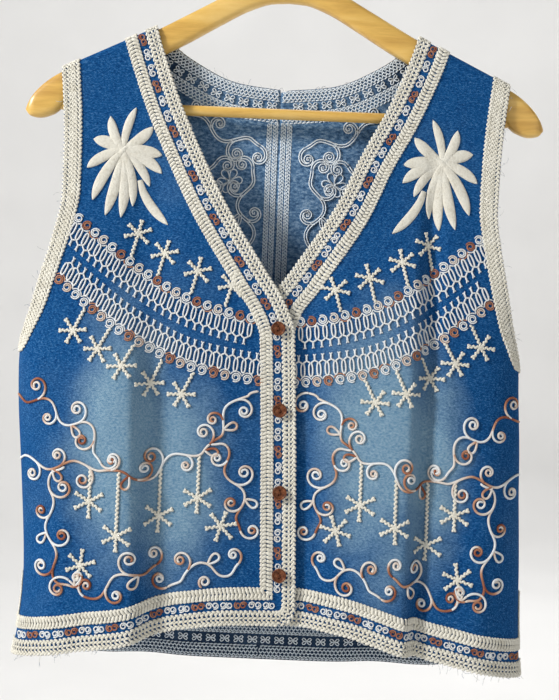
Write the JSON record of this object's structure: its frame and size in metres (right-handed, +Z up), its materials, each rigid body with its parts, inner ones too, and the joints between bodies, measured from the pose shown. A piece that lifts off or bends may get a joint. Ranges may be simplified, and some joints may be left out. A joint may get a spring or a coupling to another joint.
{
  "type": "denim vest on a clothes hanger",
  "caption": "Sleeveless V-neck denim vest with crochet-look trims and padded leaf sprays, buttoned up on a wooden clothes hanger.",
  "frame": {"origin": "inside top of the hanger's hook, where a rail carries it", "axes": "+Z up, +X to the viewer's right when facing the front, +Y towards the back; the front faces -Y"},
  "size_m": [0.4454, 0.108, 0.6686],
  "materials": {
    "denim": "faded blue denim twill",
    "trim": "matte cotton crochet",
    "applique": "matte cotton cord",
    "button": "satin",
    "wood": "satin varnish",
    "hook": "satin"
  },
  "bodies": {
    "root": {"right_front": "denim", "left_front": "denim", "right_back": "denim", "left_back": "denim", "right_front_edge_band": "trim", "right_front_inner_band": "trim", "right_front_armhole_band": "trim", "right_front_slit_band": "trim", "right_back_neck_band": "trim", "right_back_neck_inner_band": "trim", "right_back_centre_band": "trim", "right_back_hem_band": "trim", "right_back_hem_inner_band": "trim", "right_back_armhole_band": "trim", "right_back_slit_band": "trim", "left_front_edge_band": "trim", "left_front_inner_band": "trim", "left_front_armhole_band": "trim", "left_front_slit_band": "trim", "left_back_neck_band": "trim", "left_back_neck_inner_band": "trim", "left_back_centre_band": "trim", "left_back_hem_band": "trim", "left_back_hem_inner_band": "trim", "left_back_armhole_band": "trim", "left_back_slit_band": "trim", "right_front_spray": "applique", "right_front_leaf": "applique", "left_front_spray": "applique", "left_front_leaf": "applique", "button_1": "button", "button_2": "button", "button_3": "button", "button_4": "button", "hanger_arms": "wood", "trouser_bar": "wood", "hook": "hook"}
  },
  "joints": []
}
